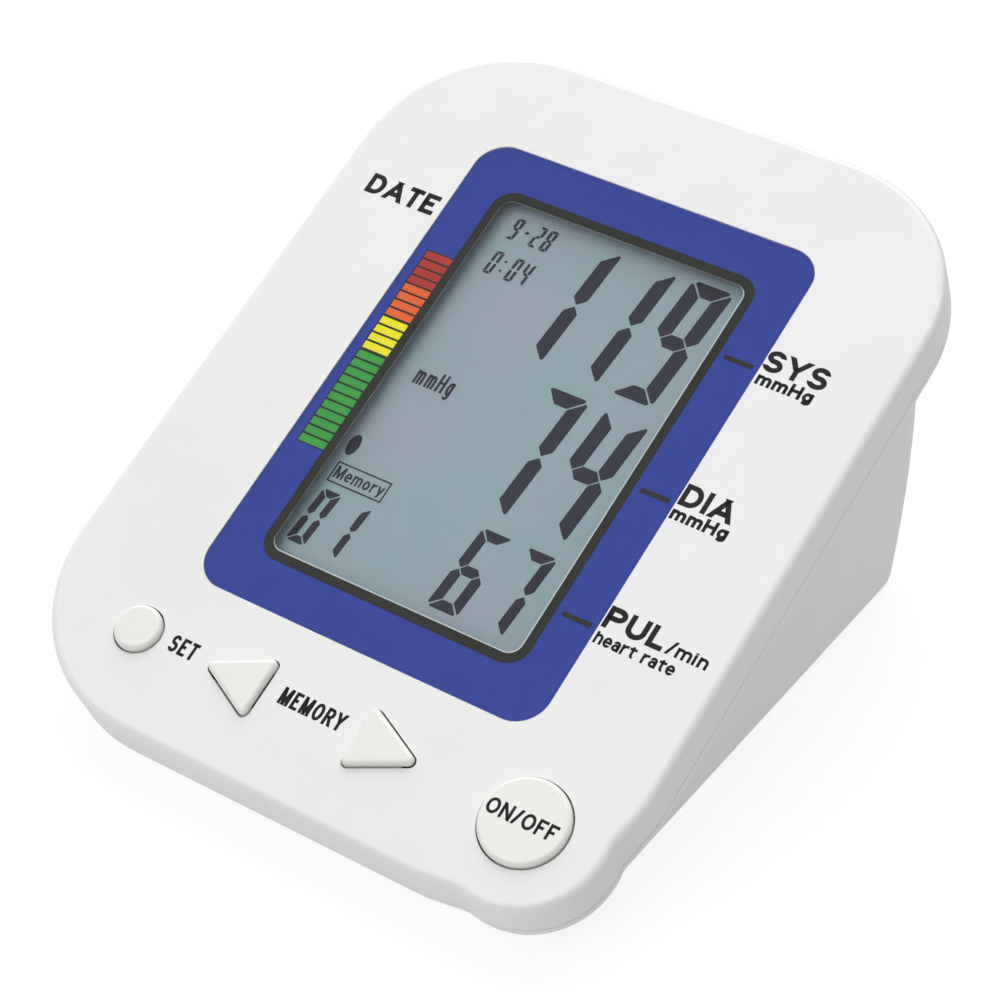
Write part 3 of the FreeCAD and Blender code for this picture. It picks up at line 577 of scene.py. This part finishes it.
# name: (width for a height of 1, lowercase, strokes, closed strokes)
characters = {
    "A": (0.80, False, [[(0, 0), (0.5, 1)], [(1, 0), (0.5, 1)], [(0.18, 0.27), (0.82, 0.27)]], []),
    "D": (0.72, False, [], [[(0, 0)] + arc(0.45, 0.5, 0.55, 0.5, -90, 90) + [(0, 1)]]),
    "E": (0.62, False, [[(1, 1), (0, 1), (0, 0), (1, 0)], [(0, 0.52), (0.92, 0.52)]], []),
    "F": (0.58, False, [[(1, 1), (0, 1), (0, 0)], [(0, 0.5), (0.88, 0.5)]], []),
    "H": (0.72, False, [[(0, 0), (0, 1)], [(1, 0), (1, 1)], [(0, 0.52), (1, 0.52)]], []),
    "I": (0.20, False, [[(0, 0), (0, 1)]], []),
    "L": (0.58, False, [[(0, 1), (0, 0), (1, 0)]], []),
    "M": (0.86, False, [[(0, 0), (0, 1)], [(1, 0), (1, 1)], [(0.06, 1), (0.5, 0)],
                        [(0.94, 1), (0.5, 0)]], []),
    "N": (0.72, False, [[(0, 0), (0, 1)], [(1, 0), (1, 1)], [(0.05, 1), (0.95, 0)]], []),
    "O": (0.80, False, [], [ring]),
    "P": (0.68, False, [[(0, 0), (0, 1)] + bowl + [(0, 0.48)]], []),
    "R": (0.72, False, [[(0, 0), (0, 1)] + bowl + [(0, 0.48)], [(0.55, 0.48), (0.98, 0)]], []),
    "S": (0.68, False, [arc(0.5, 0.75, 0.46, 0.25, 15, 250) + arc(0.5, 0.26, 0.5, 0.26, 70, -165)], []),
    "T": (0.62, False, [[(0, 1), (1, 1)], [(0.5, 0), (0.5, 1)]], []),
    "U": (0.72, False, [[(0, 1)] + arc(0.5, 0.38, 0.5, 0.38, 180, 360) + [(1, 1)]], []),
    "Y": (0.74, False, [[(0, 1), (0.5, 0.42)], [(1, 1), (0.5, 0.42)], [(0.5, 0), (0.5, 0.5)]], []),
    "/": (0.44, False, [[(0, 0), (1, 1)]], []),
    "a": (0.54, True, [arc(0.5, 0.66, 0.46, 0.34, 160, 0) + [(0.96, 0)]],
          [arc(0.44, 0.29, 0.44, 0.29, 0, 360, 21)[:-1]]),
    "e": (0.58, True, [arc(0.5, 0.5, 0.5, 0.5, 0, 320, 24), [(0, 0.5), (1, 0.5)]], []),
    "g": (0.58, True, [[(1, 1), (1, 0)] + arc(0.5, -0.1, 0.5, 0.3, 0, -150)], [ring]),
    "h": (0.56, True, [[(0, 0), (0, 1.42)], hump + [(1, 0)]], []),
    "i": (0.2, True, [[(0, 0), (0, 1)], [(0, 1.25), (0, 1.45)]], []),
    "m": (0.88, True, [[(0, 0), (0, 1)], arc(0.25, 0.7, 0.25, 0.3, 180, 0) + [(0.5, 0)],
                       arc(0.75, 0.7, 0.25, 0.3, 180, 0) + [(1, 0)]], []),
    "n": (0.56, True, [[(0, 0), (0, 1)], hump + [(1, 0)]], []),
    "o": (0.60, True, [], [ring]),
    "r": (0.46, True, [[(0, 0), (0, 1)], arc(1.0, 0.45, 1.0, 0.55, 165, 90)], []),
    "t": (0.5, True, [[(0.42, 1.35)] + arc(0.92, 0.25, 0.5, 0.25, 180, 270), [(0, 1), (1, 1)]], []),
    "y": (0.56, True, [[(0, 1), (0.52, 0.05)], [(1, 1), (0.3, -0.4)]], []),
}
lettering = dict(lowerShare=0.74, space=0.3, mitreLimit=0.35, low=0.002, high=0.02)   # levels above the face
labelInk = finish("labelInk", linear(22, 23, 23), linear(27, 28, 28), roughness=0.55, bump=0.02, specular=0.2)


def ribbon(path, thick, low, high, closed):
    # a band of one width along a path, mitred at its corners and cut level or upright at its ends
    p = np.asarray(path, float)
    steps = np.roll(p, -1, axis=0) - p
    if not closed:
        steps[-1] = steps[-2]
    steps /= np.linalg.norm(steps, axis=1)[:, None]
    before = np.roll(steps, 1, axis=0)
    if not closed:
        before[0] = steps[0]
    normal = np.column_stack([-steps[:, 1], steps[:, 0]])
    beforeNormal = np.column_stack([-before[:, 1], before[:, 0]])
    mitre = normal + beforeNormal
    mitre /= np.linalg.norm(mitre, axis=1)[:, None]
    reach = thick / 2 / np.maximum(np.sum(mitre * normal, axis=1), lettering["mitreLimit"])
    across = mitre * reach[:, None]
    if not closed:
        for end in (0, -1):
            x, y = normal[end]
            across[end] = (thick / 2 / x, 0) if abs(x) >= abs(y) else (0, thick / 2 / y)
    n = len(p)
    one, other = p + across, p - across
    corners = [np.column_stack([side, np.full(n, w)])
               for side, w in ((one, high), (other, high), (other, low), (one, low))]
    points = np.stack(corners, axis=1).reshape(-1, 3)
    faces = [face[::-1] for face in gridFaces(n, 4, closed)]
    if not closed:
        faces += [face[::-1] for face in endFaces(n, 4)]
    return points, faces


def placeStroke(stroke, closed, x, low, width, tall, thick):
    # unit box to character box, kept half a line's width inside it; an end that reaches the unit box's
    # edge is carried on to the character's
    q = np.array(stroke, float)
    place = np.array([x + thick / 2, low + thick / 2]) + q * (width - thick, tall - thick)
    if closed:
        return place
    for end, beside in ((0, 1), (-1, -2)):
        run = place[end] - place[beside]
        main = 1 if abs(run[1]) >= abs(run[0]) else 0
        if q[end, main] in (0.0, 1.0):
            place[end] += run / abs(run[main]) * thick / 2
    return place


def makeLabel(name, text, left, right, low, height, thick, body="case", level=0.0, gap=0.12,
              material=labelInk, shift=(0.0, 0.0)):
    # characters side by side, their widths stretched alike to fill the run from left to right
    total = sum(characters[c][0] if c != " " else lettering["space"] for c in text)
    between = gap * height
    unit = (right - left - between * (len(text) - 1)) / total
    points, faces, x = [], [], left + shift[0]
    for c in text:
        if c == " ":
            x += lettering["space"] * unit + between
            continue
        share, lower, openStrokes, closedStrokes = characters[c]
        width, tall = share * unit, height * (lettering["lowerShare"] if lower else 1.0)
        for stroke, closed in [(q, False) for q in openStrokes] + [(q, True) for q in closedStrokes]:
            place = placeStroke(stroke, closed, x, low + shift[1], width, tall, thick)
            more, sides = ribbon(place, thick, level + lettering["low"], level + lettering["high"], closed)
            start = sum(map(len, points))
            faces += (np.array(sides, int) + start).tolist()
            points.append(more)
        x += width + between
    piece = meshPiece(name, onPanel(np.concatenate(points)), faces, material, body)


# Labels on the panel and the power key, in millimetres on the panel's axes
labels = [
    dict(name="labelDate", text="DATE", left=-48.7, right=-34.5, low=76.8, height=4.1, thick=0.92),
    dict(name="labelSys", text="SYS", left=33.3, right=44.8, low=72.0, height=4.2, thick=0.92),
    dict(name="labelSysUnit", text="mmHg", left=33.7, right=44.0, low=69.2, height=2.5, thick=0.6),
    dict(name="labelDia", text="DIA", left=33.5, right=43.0, low=44.4, height=4.1, thick=0.92),
    dict(name="labelDiaUnit", text="mmHg", left=33.5, right=43.8, low=41.6, height=2.5, thick=0.6),
    dict(name="labelPul", text="PUL", left=33.5, right=44.3, low=20.3, height=4.0, thick=0.92),
    dict(name="labelPerMinute", text="/min", left=45.0, right=52.3, low=20.4, height=2.5, thick=0.5),
    dict(name="labelHeartRate", text="heart rate", left=33.7, right=48.1, low=17.3, height=2.45, thick=0.45,
         gap=0.07),
    dict(name="labelSet", text="SET", left=-29.0, right=-23.8, low=-13.4, height=3.1, thick=0.56),
    dict(name="labelMemory", text="MEMORY", left=-6.8, right=5.4, low=-13.4, height=3.1, thick=0.56),
    dict(name="labelPower", text="ON/OFF", left=33.7, right=46.1, low=-14.9, height=2.7, thick=0.5,
         body="power", level=1.15),
]
for values in labels:
    makeLabel(**values)
# The display's own words
for values in [
        dict(name="displayUnit", text="mmHg", left=-19.3, right=-11.8, low=46.6, height=3.6, thick=0.48),
        dict(name="displayMemory", text="Memory", left=-21.7, right=-12.0, low=25.3, height=2.4, thick=0.38)]:
    makeLabel(level=cell["top"], material=segmentInk, shift=(cell["figuresX"], cell["figuresV"]), **values)
print("labels made")

# Return spring of the exhaust valve, made at one length; in the real valve the plunger shortens it as it
# lifts
spring = dict(wire=0.19, turns=4.5, steps=110, around=10, lift=1.2)


def makeValveSpring():
    # a round wire carried along a helix: out, and across = along x out, span each ring
    low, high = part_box("valve_spring")
    middle = np.array((low + high) / 2) / mm
    wire = spring["wire"]
    radius = (high.x - low.x) / 2 / mm - wire
    turn = np.linspace(0, 2 * math.pi * spring["turns"], spring["steps"])
    rise = np.linspace(low.z / mm + wire, high.z / mm - wire, spring["steps"])
    out = np.column_stack([np.cos(turn), np.sin(turn), np.zeros_like(turn)])
    centre = np.column_stack([np.full_like(turn, middle[0]), np.full_like(turn, middle[1]), rise])
    path = out * radius + centre
    along = np.gradient(path, axis=0)
    along /= np.linalg.norm(along, axis=1)[:, None]
    across = np.cross(along, out)
    around = np.linspace(0, 2 * math.pi, spring["around"], endpoint=False)[None, :, None]
    points = path[:, None] + wire * (np.cos(around) * out[:, None] + np.sin(around) * across[:, None])
    rows, columns = points.shape[:2]
    faces = gridFaces(rows, columns) + endFaces(rows, columns)
    piece = meshPiece("valveSpringWire", points.reshape(-1, 3) * mm, faces, brightSteel, "case", smooth=True)
    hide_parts("valve_spring")
    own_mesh(piece)


makeValveSpring()
print("valve spring made")

# Camera and light: angles in degrees, the camera's distance and aim in millimetres
view = dict(azimuth=32.696, elevation=37.174, roll=1.81, distance=475.8, aim=(3.742, -6.458, 32.046),
            lens=104.99, sensor=36.0, nearest=0.01)


def makeCamera():
    # looking back from the aim along the two angles, then turned about the line of sight
    az, el, roll = (math.radians(view[key]) for key in ("azimuth", "elevation", "roll"))
    forward = Vector((-math.sin(az) * math.cos(el), math.cos(az) * math.cos(el), -math.sin(el)))
    right = forward.cross(Vector((0, 0, 1))).normalized()
    up = right.cross(forward)
    rightTurned = right * math.cos(roll) + up * math.sin(roll)
    upTurned = up * math.cos(roll) - right * math.sin(roll)
    place = Vector(view["aim"]) * mm - forward * view["distance"] * mm
    camera = bpy.data.objects.new("camera", bpy.data.cameras.new("camera"))
    camera.data.lens = view["lens"]
    camera.data.sensor_width = view["sensor"]
    camera.data.clip_start = view["nearest"]
    facing = Matrix((rightTurned, upTurned, -forward)).transposed().to_4x4()
    camera.matrix_world = Matrix.Translation(place) @ facing
    bpy.context.scene.collection.objects.link(camera)
    bpy.context.scene.camera = camera


floorPaper = dict(half=4.0, tone=0.18, second=0.178, glow=0.62, extraGlow=0.21)


def makeFloor():
    # a lit table: its glow keeps the shadow light, it shows whiter than it lights the case, and seen from
    # below it is clear
    half = floorPaper["half"]
    mesh = bpy.data.meshes.new("floor")
    mesh.from_pydata([(-half, -half, 0), (half, -half, 0), (half, half, 0), (-half, half, 0)], [],
                     [(0, 1, 2, 3)])
    floor = bpy.data.objects.new("floor", mesh)
    bpy.context.scene.collection.objects.link(floor)
    paper = finish("floorPaper", (floorPaper["tone"],) * 3, (floorPaper["second"],) * 3, roughness=0.9,
                   bump=0.0, specular=0.1)
    tree = paper.node_tree
    glow = tree.nodes["Principled BSDF"]
    glow.inputs["Emission Color"].default_value = (1.0, 1.0, 1.0, 1.0)
    glow.inputs["Emission Strength"].default_value = floorPaper["glow"]
    extra = tree.nodes.new("ShaderNodeEmission")
    extra.inputs["Strength"].default_value = floorPaper["extraGlow"]
    both = tree.nodes.new("ShaderNodeAddShader")
    tree.links.new(glow.outputs[0], both.inputs[0])
    tree.links.new(extra.outputs[0], both.inputs[1])
    path = tree.nodes.new("ShaderNodeLightPath")
    above = mixShaders(tree, path.outputs["Is Camera Ray"], glow.outputs[0], both.outputs[0])
    side = tree.nodes.new("ShaderNodeNewGeometry")
    clear = tree.nodes.new("ShaderNodeBsdfTransparent")
    whole = mixShaders(tree, side.outputs["Backfacing"], above, clear.outputs[0])
    tree.links.new(whole, tree.nodes["Material Output"].inputs["Surface"])
    mesh.materials.append(paper)


makeCamera()
makeFloor()
daylight = dict(skyLow=0.32, skyHigh=0.26, skyRight=-0.09, fadeFrom=0.3, fadeTo=0.9, lamps=[
    dict(name="leftLight", energy=1.4, angle=60.0, place=(-0.6, 0.75, 0.95)),
    dict(name="rearLight", energy=0.95, angle=56.0, place=(0.05, 0.62, 1.0)),
    dict(name="frontLight", energy=1.25, angle=54.0, place=(-0.15, -0.75, 1.0))])


def makeDaylight():
    # broad lamps, and a sky that darkens from the horizon to the top and towards the right
    for values in daylight["lamps"]:
        sun = bpy.data.lights.new(values["name"], "SUN")
        sun.energy = values["energy"]
        sun.angle = math.radians(values["angle"])
        holder = bpy.data.objects.new(values["name"], sun)
        holder.rotation_euler = Vector(values["place"]).to_track_quat("Z", "Y").to_euler()
        bpy.context.scene.collection.objects.link(holder)
    world = bpy.data.worlds.new("studio")
    world.use_nodes = True
    tree = world.node_tree
    background = tree.nodes["Background"]
    split = tree.nodes.new("ShaderNodeSeparateXYZ")
    tree.links.new(tree.nodes.new("ShaderNodeTexCoord").outputs["Generated"], split.inputs[0])
    shade = tree.nodes.new("ShaderNodeMapRange")
    levels = {"From Min": "fadeFrom", "From Max": "fadeTo", "To Min": "skyLow", "To Max": "skyHigh"}
    for socket, key in levels.items():
        shade.inputs[socket].default_value = daylight[key]
    tree.links.new(split.outputs["Z"], shade.inputs["Value"])
    sideways = mathNode(tree, "MULTIPLY_ADD", split.outputs["X"], daylight["skyRight"],
                        shade.outputs["Result"])
    tree.links.new(sideways, background.inputs["Strength"])
    background.inputs["Color"].default_value = (1.0, 1.0, 1.0, 1.0)
    bpy.context.scene.world = world


makeDaylight()
bpy.context.scene.view_settings.view_transform = "Standard"
print("camera and lights made")
